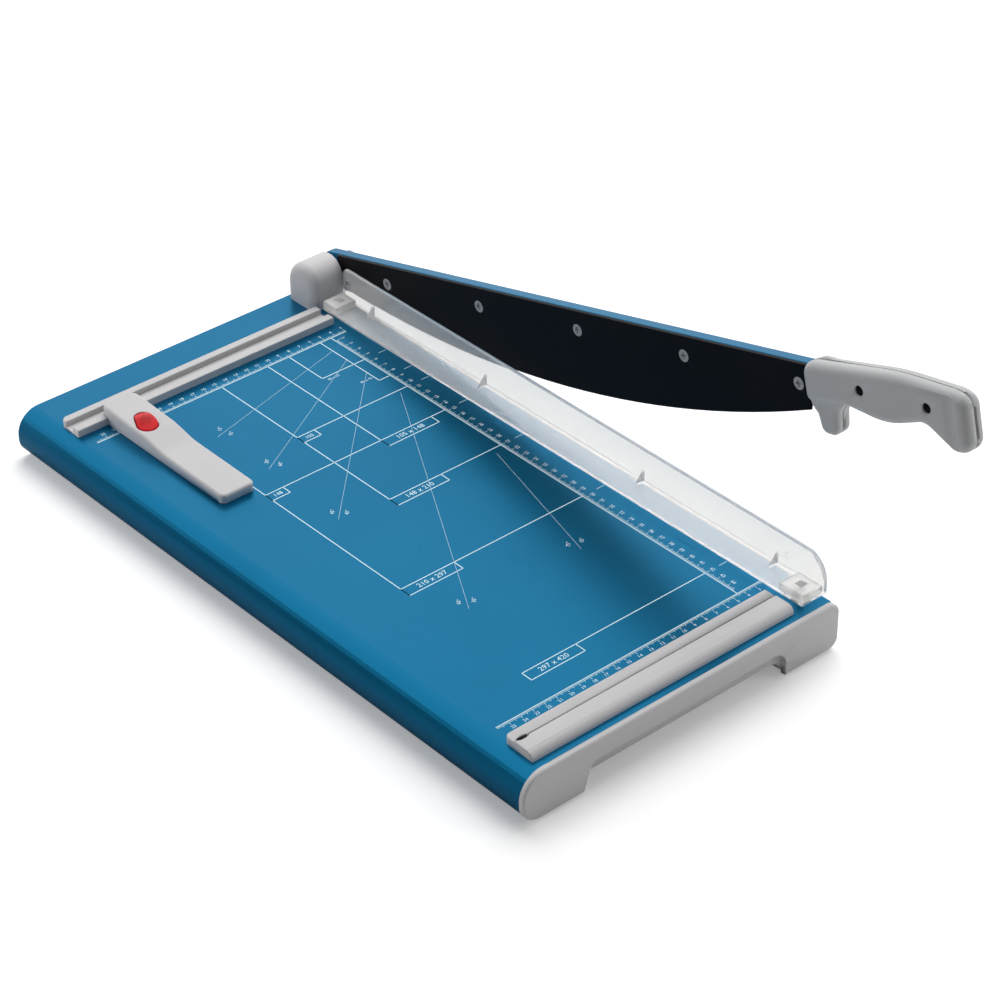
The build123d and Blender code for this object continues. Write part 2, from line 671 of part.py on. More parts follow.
def front_guide_strip():
    plan = rounded_face(
        [(strip_left, strip_front), (strip_right, strip_front),
         (strip_right, strip_rear), (strip_left, strip_rear)],
        [0, 0, 0, STRIP_TAIL_RADIUS])
    crown_z = top_z + STRIP_HEIGHT
    slit_y = strip_rear - STRIP_SLIT_INSET
    slit_floor = crown_z - STRIP_SLIT_DEPTH
    half = STRIP_SLIT / 2
    body = Pos(0, 0, top_z) * extrude(plan, amount=STRIP_HEIGHT)
    # The part behind the slit is lower than the rounded part in front of it
    body -= block(strip_left - OVERRUN, strip_right + OVERRUN, slit_y, strip_rear + OVERRUN,
                  top_z + STRIP_REAR_HEIGHT, crown_z + OVERRUN)
    body = fillet(edges_at(body, Axis.Z, crown_z).sort_by(Axis.Y)[:1], STRIP_ROUND)
    rear_edges = [edge for edge in edges_at(body, Axis.Z, top_z + STRIP_REAR_HEIGHT)
                  if edge.center().Y > strip_rear - STRIP_TAIL_RADIUS]
    body = fillet(rear_edges, STRIP_EDGE_ROUND)
    mouth_x = strip_left + STRIP_MOUTH_INSET + STRIP_MOUTH_LENGTH / 2
    body -= block(mouth_x, strip_right + OVERRUN, slit_y - half, slit_y + half, slit_floor, crown_z + OVERRUN)
    mouth = Pos(mouth_x, slit_y, slit_floor) * Ellipse(STRIP_MOUTH_LENGTH / 2, STRIP_MOUTH_WIDTH / 2)
    body -= extrude(mouth, amount=STRIP_SLIT_DEPTH + OVERRUN)
    for x, y in rail_screw_places()[len(RAIL_SCREW_SHARES):]:
        body -= rod_z(RAIL_SCREW_RADIUS + SCREW_PLAY, top_z - OVERRUN, top_z + RAIL_SCREW_GRIP, x, y)
    return body


def rail_screws():
    screws = []
    for x, y in rail_screw_places():
        head = rod_z(RAIL_SCREW_HEAD_RADIUS, under_top - RAIL_SCREW_HEAD, under_top, x, y)
        screws.append(head + rod_z(RAIL_SCREW_RADIUS, under_top, top_z + RAIL_SCREW_GRIP - SCREW_PLAY, x, y))
    return screws


# Guard

def guard():
    bottom = top_z + GUARD_LIFT
    web_left = guard_right - GUARD_WEB
    section = rounded_face(
        [(guard_left, bottom), (guard_right, bottom), (guard_right, top_z + GUARD_HEIGHT),
         (web_left, top_z + GUARD_HEIGHT), (web_left, flange_top), (guard_left, flange_top)],
        [GUARD_EDGE_ROUND, GUARD_CORNER, GUARD_CORNER, GUARD_CORNER, GUARD_CORNER, GUARD_EDGE_ROUND])
    body = slab_y(section, guard_front, guard_rear)
    crown = top_z + GUARD_HEIGHT
    front_outline = rounded_face(
        [(guard_front, bottom - OVERRUN), (guard_front, crown),
         (guard_rear, crown), (guard_rear, bottom - OVERRUN)],
        [0, GUARD_FRONT_RADIUS, GUARD_REAR_RADIUS, 0])
    body &= slab_x(front_outline, guard_left - OVERRUN, guard_right + OVERRUN)
    for share in RIB_PLACE_SHARES:
        y = guard_rear - share * guard_length
        rib = make_face(Polyline(
            (web_left, flange_top), (web_left, flange_top + RIB_HEIGHT),
            (web_left - RIB_REACH, flange_top), close=True))
        body += slab_y(rib, y - RIB_THICKNESS / 2, y + RIB_THICKNESS / 2)
    for y in pin_places():
        body -= rod_z(SPRING_POCKET_RADIUS, bottom - OVERRUN, flange_top + OVERRUN, pin_x, y)
    # A small slot near the rear end of the web
    slot_rear, slot_high = guard_rear - WEB_SLOT_INSET, crown - WEB_SLOT_DROP + WEB_SLOT_HEIGHT
    slot_front, slot_low = slot_rear - WEB_SLOT_LENGTH, crown - WEB_SLOT_DROP
    slot = rounded_face(
        [(slot_front, slot_low), (slot_front, slot_high), (slot_rear, slot_high), (slot_rear, slot_low)],
        [WEB_SLOT_CORNER, WEB_SLOT_CORNER, WEB_SLOT_CORNER, WEB_SLOT_CORNER])
    return body - slab_x(slot, web_left - OVERRUN, guard_right + OVERRUN)


def guard_block(y0, y1, pin_y):
    web_left = guard_right - GUARD_WEB
    right = web_left - GUARD_CORNER
    body = block(right - BLOCK_WIDTH, right, y0, y1, flange_top, block_top)
    crown = edges_at(body, Axis.Z, block_top)
    body = fillet(crown, BLOCK_ROUND)
    body -= rod_z(PIN_RADIUS + RUNNING_FIT, flange_top - OVERRUN, block_top + OVERRUN, pin_x, pin_y)
    body -= rod_z(SPRING_POCKET_RADIUS, flange_top - OVERRUN, flange_top + SPRING_POCKET_DEPTH, pin_x, pin_y)
    half = PIN_HEAD_SIDE / 2 + PIN_HEAD_PLAY
    return body - block(pin_x - half, pin_x + half, pin_y - half, pin_y + half, pin_seat_z, block_top + OVERRUN)


def guard_front_block():
    return guard_block(guard_front + MOULD_PLAY, guard_front + FRONT_BLOCK_LENGTH, front_pin_y)


def guard_rear_block():
    return guard_block(guard_rear - REAR_BLOCK_LENGTH, guard_rear - MOULD_PLAY, rear_pin_y)


def guard_pin(y):
    head_bottom = pin_seat_z + RUNNING_FIT
    half = PIN_HEAD_SIDE / 2
    head = block(pin_x - half, pin_x + half, y - half, y + half, head_bottom, head_bottom + PIN_HEAD)
    return head + rod_z(PIN_RADIUS, under_top - PIN_TAIL, head_bottom + PIN_HEAD / 2, pin_x, y)


def helix_point(radius, pitch, turn):
    angle = 2 * math.pi * turn
    return Vector(radius * math.cos(angle), radius * math.sin(angle), pitch * turn)


def helix_tangent(radius, pitch, turn):
    angle = 2 * math.pi * turn
    along = Vector(-radius * math.sin(angle), radius * math.cos(angle), pitch / (2 * math.pi))
    return along.normalized()


def coil_spring(name, radius, wire, turns, low, high, x, y):
    # A helix of quarter turns, each made of two arcs that share a tangent
    pitch = (high - low - wire) / turns
    arcs = []
    for step in range(turns * COIL_STEPS):
        start = step / COIL_STEPS
        end = start + 1 / COIL_STEPS
        p0, p1 = helix_point(radius, pitch, start), helix_point(radius, pitch, end)
        t0, t1 = helix_tangent(radius, pitch, start), helix_tangent(radius, pitch, end)
        chord, spread = p1 - p0, 1 - t0.dot(t1)
        lean = chord.dot(t0 + t1)
        reach = (-lean + math.sqrt(lean * lean + 2 * spread * chord.dot(chord))) / (2 * spread)
        near, far = p0 + t0 * reach, p1 - t1 * reach
        middle = (near + far) / 2
        arcs.append(TangentArc(p0, middle, tangent=t0))
        arcs.append(TangentArc(middle, p1, tangent=far - near))
    start_plane = Plane(origin=helix_point(radius, pitch, 0), z_dir=helix_tangent(radius, pitch, 0))
    section = start_plane * Circle(wire / 2)
    points = [helix_point(radius, pitch, k / COIL_CHECKS) for k in range(turns * COIL_CHECKS + 1)]
    gaps = [(a - b).length - wire for i, a in enumerate(points) for b in points[i + COIL_CHECKS // 2:]]
    print(f"{name} least gap between its turns {min(gaps):.2f}")
    return Pos(x, y, low + wire / 2) * sweep(section, path=Wire(arcs))


def guard_spring(name, y):
    low = top_z + RUNNING_FIT
    high = flange_top + SPRING_POCKET_DEPTH - RUNNING_FIT
    return coil_spring(name, GUARD_SPRING_RADIUS, GUARD_SPRING_WIRE, GUARD_SPRING_TURNS, low, high, pin_x, y)


# Arm, built level along minus Y from the pivot and then raised to its rest angle

def blade_depth(along):
    offset = along - belly_at
    return BLADE_BELLY_DEPTH - (BLADE_RADIUS - math.sqrt(BLADE_RADIUS ** 2 - offset ** 2))


def blade_screw_places():
    pitch = (ARM_LENGTH - BLADE_SCREW_END - BLADE_SCREW_FIRST) / (BLADE_SCREW_COUNT - 1)
    return [BLADE_SCREW_FIRST + k * pitch for k in range(BLADE_SCREW_COUNT)]


def blade_arm():
    half = ARM_DEPTH / 2
    bar = slab_x(rounded_face(
        [(half, -half), (half, half), (-ARM_LENGTH, half), (-ARM_LENGTH, -half)],
        [half - ARM_ROUND, half - ARM_ROUND, 0, 0]), arm_left, arm_right)
    bar = fillet(bar.edges().filter_by(Axis.Y), ARM_ROUND)
    tang = block(arm_left, arm_right, -ARM_LENGTH - TANG_LENGTH, -ARM_LENGTH, -TANG_BOTTOM, TANG_TOP)
    bar += tang
    bar -= rod_x(PIVOT_RADIUS + BUSH_WALL, arm_left - OVERRUN, arm_right + OVERRUN, 0, 0)
    for along in blade_screw_places():
        bar -= rod_x(BLADE_SCREW_RADIUS + SCREW_PLAY, arm_left - OVERRUN, arm_left + BLADE_SCREW_GRIP,
                     -along, 0)
    for along, rise in handle_screw_places():
        bar -= rod_x(HANDLE_SCREW_RADIUS + SCREW_PLAY, arm_left - OVERRUN, arm_right + OVERRUN, -along, rise)
    return arm_pose * bar


def blade_screw(along, face_x, play, grip):
    head_x = face_x + BLADE_SCREW_HEAD + play
    cone = cone_x(BLADE_SCREW_HEAD_RADIUS + play, BLADE_SCREW_RADIUS + play, face_x, head_x, -along, 0)
    return cone + rod_x(BLADE_SCREW_RADIUS + play, face_x, face_x + grip, -along, 0)


def upper_blade():
    top = ARM_DEPTH / 2 - BLADE_TOP_INSET
    left, right = edge_x + BLADE_GAP, arm_left
    belly = (-belly_at, -BLADE_BELLY_DEPTH)
    toe = (-blade_end, -blade_depth(blade_end))
    heel = (-BLADE_START, -blade_depth(BLADE_START))
    outline = make_face(
        ThreePointArc(toe, belly, heel) + Polyline(heel, (-BLADE_START, top), (-blade_end, top), toe))
    # The bevel is ground on the side away from the counter knife
    bevel_x = right - BLADE_BEVEL
    ground = cone_x(BLADE_RADIUS, BLADE_RADIUS - BLADE_BEVEL_HEIGHT, bevel_x, right,
                    -belly_at, BLADE_RADIUS - BLADE_BELLY_DEPTH)
    body = slab_x(outline, left, bevel_x) + (slab_x(outline, bevel_x, right) & ground)
    for along in blade_screw_places():
        body -= blade_screw(along, left, SCREW_PLAY, right - left + OVERRUN)
    return arm_pose * body


def blade_screws():
    screws = []
    left = edge_x + BLADE_GAP
    grip = arm_left - left + BLADE_SCREW_GRIP - SCREW_PLAY
    for along in blade_screw_places():
        screw = blade_screw(along, left + SCREW_PLAY / 2, 0, grip)
        half, arm = CROSS_SPAN / 2, CROSS_WIDTH / 2
        face = left - OVERRUN
        screw -= block(face, left + CROSS_DEPTH, -along - half, -along + half, -arm, arm)
        screw -= block(face, left + CROSS_DEPTH, -along - arm, -along + arm, -half, half)
        screws.append(arm_pose * screw)
    return screws


# Handle

def handle_point(share):
    along, rise = share
    return (-(ARM_LENGTH + HANDLE_START_GAP + along * HANDLE_LENGTH), rise * HANDLE_DEPTH)


def handle_screw_places():
    return [(-handle_point(share)[0], handle_point(share)[1]) for share in HANDLE_SCREW_SHARES]


def handle_outline(corner_shares, radius_shares):
    corners = [handle_point(share) for share in corner_shares]
    return rounded_face(corners, [share * HANDLE_DEPTH for share in radius_shares])


def handle_bar(corner_shares, radius_shares, reach, rounding):
    # An outline made solid from the seam outwards, its outer rim rounded except at the arm's end
    bar = slab_x(handle_outline(corner_shares, radius_shares), SEAM_GAP / 2, reach)
    rear = handle_point((0, 0))[0]
    rim = [edge for edge in edges_at(bar, Axis.X, reach) if edge.center().Y < rear - RUNNING_FIT]
    return fillet(rim, rounding)


def handle_half_solid(finger_reach, collared):
    # One half, from the seam outwards along plus X, with the seam at X zero
    grip = handle_bar(GRIP_CORNER_SHARES, GRIP_RADIUS_SHARES, HANDLE_WIDTH / 2, HANDLE_ROUND)
    flute_x = HANDLE_WIDTH / 2 + FLUTE_RADIUS - FLUTE_DEPTH
    grip -= Pos(flute_x, handle_point((FLUTE_SHARE, 0))[0], 0) * Cylinder(FLUTE_RADIUS, 2 * HANDLE_DEPTH)
    finger = slab_x(handle_outline(FINGER_CORNER_SHARES, FINGER_RADIUS_SHARES), SEAM_GAP / 2, finger_reach)
    rear, low = handle_point((0, 0))[0], handle_point(FINGER_CORNER_SHARES[2])[1]
    rim = [edge for edge in edges_at(finger, Axis.X, finger_reach)
           if edge.center().Z < low and edge.center().Y < rear - RUNNING_FIT]
    finger = fillet(rim, FINGER_ROUND)
    half = grip + finger
    valley = [edge for edge in new_edges(grip, finger, combined=half)
              if edge.center().X > SEAM_GAP / 2 + RUNNING_FIT and edge.center().Y < rear - RUNNING_FIT]
    half = fillet(valley, FINGER_BLEND)
    if collared:
        half += handle_bar(COLLAR_CORNER_SHARES, COLLAR_RADIUS_SHARES, COLLAR_WIDTH / 2, COLLAR_ROUND)
    return half


def handle_shell(side):
    # The left half has side minus one, the right half plus one
    half = handle_half_solid(FINGER_RIGHT_REACH, True)
    if side < 0:
        half = mirror(handle_half_solid(finger_left_reach, False), about=Plane.YZ)
    half = Pos(seam_x, 0, 0) * half
    tang_end = ARM_LENGTH + TANG_LENGTH + SCREW_PLAY
    half -= block(arm_left - SCREW_PLAY, arm_right + SCREW_PLAY, -tang_end, -ARM_LENGTH,
                  -TANG_BOTTOM - SCREW_PLAY, TANG_TOP + SCREW_PLAY)
    outer = seam_x + side * HANDLE_WIDTH / 2
    for along, rise in handle_screw_places():
        half -= rod_x(HANDLE_SCREW_RADIUS + SCREW_PLAY, seam_x - HANDLE_WIDTH, seam_x + HANDLE_WIDTH,
                      -along, rise)
        if side < 0:
            half -= rod_x(HANDLE_SCREW_HEAD_RADIUS + SCREW_PLAY, outer - OVERRUN, outer + HANDLE_SCREW_SINK
                          + HANDLE_SCREW_HEAD, -along, rise)
        else:
            half -= hex_x(HANDLE_NUT_FLATS + HANDLE_NUT_PLAY, outer - HANDLE_NUT_SINK - HANDLE_NUT_HEIGHT,
                          outer + OVERRUN, -along, rise)
    return arm_pose * half


def handle_screws():
    screws = []
    head_left = seam_x - HANDLE_WIDTH / 2 + HANDLE_SCREW_SINK
    tip = seam_x + HANDLE_WIDTH / 2 - HANDLE_NUT_SINK
    for along, rise in handle_screw_places():
        head = rod_x(HANDLE_SCREW_HEAD_RADIUS, head_left, head_left + HANDLE_SCREW_HEAD, -along, rise)
        half, arm = CROSS_SPAN / 2, CROSS_WIDTH / 2
        face = head_left - OVERRUN
        head -= block(face, head_left + CROSS_DEPTH, -along - half, -along + half, rise - arm, rise + arm)
        head -= block(face, head_left + CROSS_DEPTH, -along - arm, -along + arm, rise - half, rise + half)
        shank = rod_x(HANDLE_SCREW_RADIUS, head_left + HANDLE_SCREW_HEAD / 2 + CROSS_DEPTH, tip, -along, rise)
        screws.append(arm_pose * (head + shank))
    return screws


def handle_nuts():
    nuts = []
    outer = seam_x + HANDLE_WIDTH / 2 - HANDLE_NUT_SINK
    for along, rise in handle_screw_places():
        nut = hex_x(HANDLE_NUT_FLATS, outer - HANDLE_NUT_HEIGHT, outer, -along, rise)
        nut -= rod_x(HANDLE_SCREW_RADIUS + RUNNING_FIT, outer - HANDLE_NUT_HEIGHT - OVERRUN, outer + OVERRUN,
                     -along, rise)
        nuts.append(arm_pose * nut)
    return nuts


# Backstop

def egg(grow):
    front_end = Pos(-BUTTON_FRONT_SIDE, -BUTTON_FRONT_REACH) * Circle(BUTTON_FRONT_RADIUS + grow)
    rear_end = Pos(BUTTON_REAR_SIDE, BUTTON_REAR_REACH) * Circle(BUTTON_REAR_RADIUS + grow)
    return Pos(stop_x, button_y) * make_hull(front_end.edges() + rear_end.edges())


def backstop_arm():
    left = stop_x - STOP_LEFT_REACH
    right = left + STOP_WIDTH
    rear = stop_y + STOP_BEHIND
    tip = stop_y - STOP_REACH
    plan = rounded_face([(left, tip), (right, tip), (right, rear), (left, rear)],
                        [STOP_CORNER, STOP_CORNER, STOP_REAR_CORNER, STOP_REAR_CORNER])
    head_top = top_z + STOP_HEAD_HEIGHT
    body = Pos(0, 0, plate_z) * extrude(plan, amount=head_top - plate_z)
    # Seen from the side, the high head slopes down past the button to a thin arm
    side = rounded_face(
        [(tip - OVERRUN, plate_z - OVERRUN), (rear + OVERRUN, plate_z - OVERRUN), (rear + OVERRUN, head_top),
         (stop_y - STOP_HEAD_LENGTH, head_top), (stop_y - STOP_BROW_AT, top_z + STOP_BROW_HEIGHT),
         (stop_y - STOP_ARM_START, top_z + STOP_ARM_HEIGHT), (tip - OVERRUN, top_z + STOP_TIP_HEIGHT)],
        [0, 0, 0, STOP_BROW_ROUND, STOP_BROW_ROUND, STOP_ARM_ROUND, 0])
    body &= slab_x(side, left - OVERRUN, right + OVERRUN)
    middle = (left + right) / 2
    crown = [edge for edge in body.edges() if edge.bounding_box().min.Z > top_z + STOP_TIP_HEIGHT - STOP_ROUND
             and (abs(edge.center().X - middle) > STOP_CORNER
                  or not tip + STOP_CORNER < edge.center().Y < rear - STOP_REAR_CORNER)]
    body = fillet(crown, STOP_ROUND)
    # The head steps over the rail's fence and reaches into its slot with two tongues
    fence_top = top_z + RAIL_HEIGHT + SLIDE_PLAY
    body -= block(left - OVERRUN, right + OVERRUN, stop_y - SLIDE_PLAY, rear + OVERRUN,
                  plate_z - OVERRUN, fence_top)
    tongue_y = stop_y + RAIL_FENCE + SLIDE_PLAY
    for sign in (-1, 1):
        near, far = sorted((stop_x + sign * TONGUE_INNER, stop_x + sign * TONGUE_OUTER))
        body += block(near, far, tongue_y, tongue_y + TONGUE_THICKNESS, fence_top - TONGUE_DROP, fence_top)
    # Room for the release lever, the button and the plate under them
    half = POCKET_WIDTH / 2
    pocket_floor = plate_z - OVERRUN
    body -= block(stop_x - half, stop_x + half, stop_y - POCKET_FRONT, rear + OVERRUN,
                  pocket_floor, top_z + POCKET_LOW_ROOF)
    body -= block(stop_x - half, stop_x + half, lever_y, rear + OVERRUN,
                  pocket_floor, top_z + POCKET_HIGH_ROOF)
    well = egg(BUTTON_FLANGE_WIDTH + MOULD_PLAY)
    body -= Pos(0, 0, pocket_floor) * extrude(well, amount=button_seat_z - pocket_floor)
    body -= Pos(0, 0, pocket_floor) * extrude(egg(BUTTON_PLAY), amount=head_top + OVERRUN - pocket_floor)
    plate = plate_half_width() + MOULD_PLAY
    body -= block(stop_x - plate, stop_x + plate, plate_front() - MOULD_PLAY, plate_rear() + MOULD_PLAY,
                  pocket_floor, plate_z + PLATE_THICKNESS)
    pin_half = LEVER_PIN_LENGTH / 2
    body -= rod_x(LEVER_PIN_RADIUS + RUNNING_FIT, stop_x - pin_half, stop_x + pin_half,
                  lever_y, top_z + LEVER_PIVOT_RISE)
    return body


def plate_half_width():
    return PLATE_WIDTH / 2


def plate_rear():
    return stop_y - PLATE_REAR_INSET


def plate_front():
    return plate_rear() - PLATE_LENGTH


def backstop_plate():
    half = plate_half_width()
    return block(stop_x - half, stop_x + half, plate_front(), plate_rear(),
                 plate_z, plate_z + PLATE_THICKNESS)


def release_button():
    crown_z = top_z + STOP_HEAD_HEIGHT + BUTTON_CROWN
    flange_z = button_seat_z - RUNNING_FIT - BUTTON_FLANGE
    body = Pos(0, 0, flange_z) * extrude(egg(0), amount=crown_z - flange_z)
    body &= Pos(stop_x, button_y, crown_z - BUTTON_DOME_RADIUS) * Sphere(BUTTON_DOME_RADIUS)
    body += Pos(0, 0, flange_z) * extrude(egg(BUTTON_FLANGE_WIDTH), amount=BUTTON_FLANGE)
    stem_low = lever_z + LEVER_THICKNESS + RUNNING_FIT
    return body + rod_z(BUTTON_STEM_RADIUS, stem_low, flange_z + BUTTON_FLANGE / 2, stop_x, button_y)


def clamp_lever():
    half = LEVER_WIDTH / 2
    top = lever_z + LEVER_THICKNESS
    rear = stop_y + LEVER_REAR
    body = block(stop_x - half, stop_x + half, stop_y - LEVER_FRONT, rear, lever_z, top)
    body += block(stop_x - half, stop_x + half, rear - LEVER_PAD, rear,
                  top_z + RAIL_FLOOR + LEVER_PAD_GAP, top)
    knuckle_z = top_z + LEVER_PIVOT_RISE
    body += rod_x(LEVER_KNUCKLE_RADIUS, stop_x - half, stop_x + half, lever_y, knuckle_z)
    return body - rod_x(LEVER_PIN_RADIUS + RUNNING_FIT, stop_x - STOP_WIDTH, stop_x + STOP_WIDTH,
                        lever_y, knuckle_z)


def lever_pin():
    half = LEVER_PIN_LENGTH / 2 - SCREW_PLAY
    return rod_x(LEVER_PIN_RADIUS, stop_x - half, stop_x + half, lever_y, top_z + LEVER_PIVOT_RISE)


def button_spring():
    low = plate_z + PLATE_THICKNESS + RUNNING_FIT
    return coil_spring("button_spring", BUTTON_SPRING_RADIUS, BUTTON_SPRING_WIRE, BUTTON_SPRING_TURNS,
                       low, lever_z - RUNNING_FIT, stop_x, button_y)


def pieces():
    nodes = {
        "table_top": table_top(),
        "front_end_cap": front_end_cap(),
        "rear_end_cap": rear_end_cap(),
        "end_cap_screws": end_cap_screws(),
        "counter_knife": counter_knife(),
        "counter_knife_screws": counter_knife_screws(),
        "knife_beam": knife_beam(),
        "pivot_bracket": pivot_bracket(),
        "bracket_bolts": bracket_bolts(),
        "pivot_cover": pivot_cover(),
        "pivot_bolt": pivot_bolt(),
        "pivot_spacer": pivot_spacer(),
        "friction_washer": friction_washer(),
        "disc_spring": disc_spring(),
        "pivot_nut": pivot_nut(),
        "rear_guide_rail": rear_guide_rail(),
        "front_guide_strip": front_guide_strip(),
        "rail_screws": rail_screws(),
        "guard_front_pin": guard_pin(front_pin_y),
        "guard_rear_pin": guard_pin(rear_pin_y),
        "guard_front_spring": guard_spring("guard_front_spring", front_pin_y),
        "guard_rear_spring": guard_spring("guard_rear_spring", rear_pin_y),
        "guard": guard(),
        "guard_front_block": guard_front_block(),
        "guard_rear_block": guard_rear_block(),
        "pivot_bush": pivot_bush(),
        "blade_arm": blade_arm(),
        "upper_blade": upper_blade(),
        "blade_screws": blade_screws(),
        "handle_left_half": handle_shell(-1),
        "handle_right_half": handle_shell(1),
        "handle_screws": handle_screws(),
        "handle_nuts": handle_nuts(),
        "backstop_arm": backstop_arm(),
        "backstop_plate": backstop_plate(),
        "release_button": release_button(),
        "clamp_lever": clamp_lever(),
        "lever_pin": lever_pin(),
        "button_spring": button_spring()}
    for name, (x, y) in foot_places().items():
        nodes[name] = rubber_foot(x, y)
    return nodes


os.makedirs("parts", exist_ok=True)
nodes = {name: shape if isinstance(shape, list) else [shape] for name, shape in pieces().items()}
# The whole is moved so that the origin is under the middle of its box
boxes = [solid.bounding_box() for solids in nodes.values() for solid in solids]
middle_x = (min(box.min.X for box in boxes) + max(box.max.X for box in boxes)) / 2
middle_y = (min(box.min.Y for box in boxes) + max(box.max.Y for box in boxes)) / 2
print(f"middle of the box at {middle_x:.4f} {middle_y:.4f}")
for name, solids in nodes.items():
    moved = [Pos(-middle_x, -middle_y, 0) * solid for solid in solids]
    export_step(Compound(children=moved) if len(moved) > 1 else moved[0], f"parts/{name}.step")
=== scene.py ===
import math
import bmesh
import bpy
from mathutils import Matrix, Vector


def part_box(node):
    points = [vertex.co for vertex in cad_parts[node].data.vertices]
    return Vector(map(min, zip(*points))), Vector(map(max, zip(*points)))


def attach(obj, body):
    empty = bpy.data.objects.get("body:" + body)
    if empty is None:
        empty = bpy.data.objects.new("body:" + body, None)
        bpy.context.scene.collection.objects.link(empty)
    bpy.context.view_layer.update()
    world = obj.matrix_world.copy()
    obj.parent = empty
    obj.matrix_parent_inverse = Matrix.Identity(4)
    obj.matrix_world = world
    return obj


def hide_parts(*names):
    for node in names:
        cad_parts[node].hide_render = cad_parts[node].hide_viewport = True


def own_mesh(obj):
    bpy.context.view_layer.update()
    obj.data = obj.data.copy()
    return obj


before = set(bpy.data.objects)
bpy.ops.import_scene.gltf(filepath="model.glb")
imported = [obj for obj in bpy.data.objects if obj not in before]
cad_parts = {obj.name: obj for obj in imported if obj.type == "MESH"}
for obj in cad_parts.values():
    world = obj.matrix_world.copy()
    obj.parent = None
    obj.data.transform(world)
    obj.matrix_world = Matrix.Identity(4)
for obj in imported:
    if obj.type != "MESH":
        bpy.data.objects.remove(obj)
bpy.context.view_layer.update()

MM = 0.001


# The table is one sheet of steel, 2 mm thick, bent into a rounded nose along the left side and a flange
# along the right. It is sprayed with a blue metallic lacquer and stoved, which leaves a soft sheen that
# mirrors the blade as a dark haze.
def colour(code):
    # An sRGB hex colour as linear red, green, blue and alpha
    parts = [int(code[i:i + 2], 16) / 255 for i in (1, 3, 5)]
    return [c / 12.92 if c <= 0.04045 else ((c + 0.055) / 1.055) ** 2.4 for c in parts] + [1.0]


def put(material, kind, inputs=(), **settings):
    # Adds a node with its settings, its values and its links from other nodes
    made = material.node_tree.nodes.new(kind)
    for name, value in settings.items():
        setattr(made, name, value)
    for name, value in dict(inputs).items():
        if isinstance(value, tuple):
            material.node_tree.links.new(value[0].outputs[value[1]], made.inputs[name])
        else:
            made.inputs[name].default_value = value
    return made


def blank(name):
    made = bpy.data.materials.new(name)
    made.use_nodes = True
    made.node_tree.nodes.clear()
    return made


def dress(node, finish, body, crease=32.0):
    # A merged copy of a CAD node with smooth rounded faces and crisp edges, which stands for that node
    skin = bmesh.new()
    skin.from_mesh(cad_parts[node].data)
    bmesh.ops.remove_doubles(skin, verts=skin.verts, dist=0.0005 * MM)
    mesh = bpy.data.meshes.new(node + "_skin")
    skin.to_mesh(mesh)
    skin.free()
    mesh.materials.append(finish)
    mesh.shade_smooth()
    mesh.set_sharp_from_angle(angle=math.radians(crease))
    piece = bpy.data.objects.new(node + "_skin", mesh)
    bpy.context.scene.collection.objects.link(piece)
    even = piece.modifiers.new("even_shading", "WEIGHTED_NORMAL")
    even.keep_sharp = True
    even.weight = 100
    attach(piece, body)
    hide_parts(node)
    return piece


# Metallic lacquer: aluminium flakes in blue pigment give a coloured gloss with a fine speckle, and the spraying
# a faint orange-peel ripple. The flakes are drawn coarser than they are, so that they show.
lacquer = blank("blue_metallic_lacquer")
place = put(lacquer, "ShaderNodeTexCoord")
flakes = put(lacquer, "ShaderNodeTexNoise", {"Vector": (place, "Object"), "Scale": 1000 / 0.7, "Detail": 1.0})
drift = put(lacquer, "ShaderNodeTexNoise", {"Vector": (place, "Object"), "Scale": 1000 / 90, "Detail": 2.0})
peel = put(lacquer, "ShaderNodeTexNoise", {"Vector": (place, "Object"), "Scale": 1000 / 1.8, "Detail": 2.0})
speckle = put(lacquer, "ShaderNodeMix", {0: (flakes, "Fac"), 6: colour("#0274A0"), 7: colour("#0780AE")},
              data_type="RGBA")
tint = put(lacquer, "ShaderNodeMix", {0: (drift, "Fac"), 6: (speckle, 2), 7: colour("#01709C")},
           data_type="RGBA")
sheen = put(lacquer, "ShaderNodeMapRange", {"Value": (drift, "Fac"), "To Min": 0.25, "To Max": 0.31})
ripple = put(lacquer, "ShaderNodeBump", {"Height": (peel, "Fac"), "Strength": 0.08, "Distance": 0.02 * MM})
shader = put(lacquer, "ShaderNodeBsdfPrincipled", {
    "Base Color": (tint, 2), "Metallic": 0.8, "Roughness": (sheen, "Result"), "Normal": (ripple, "Normal")})
put(lacquer, "ShaderNodeOutputMaterial", {"Surface": (shader, "BSDF")})
dress("table_top", lacquer, "base")


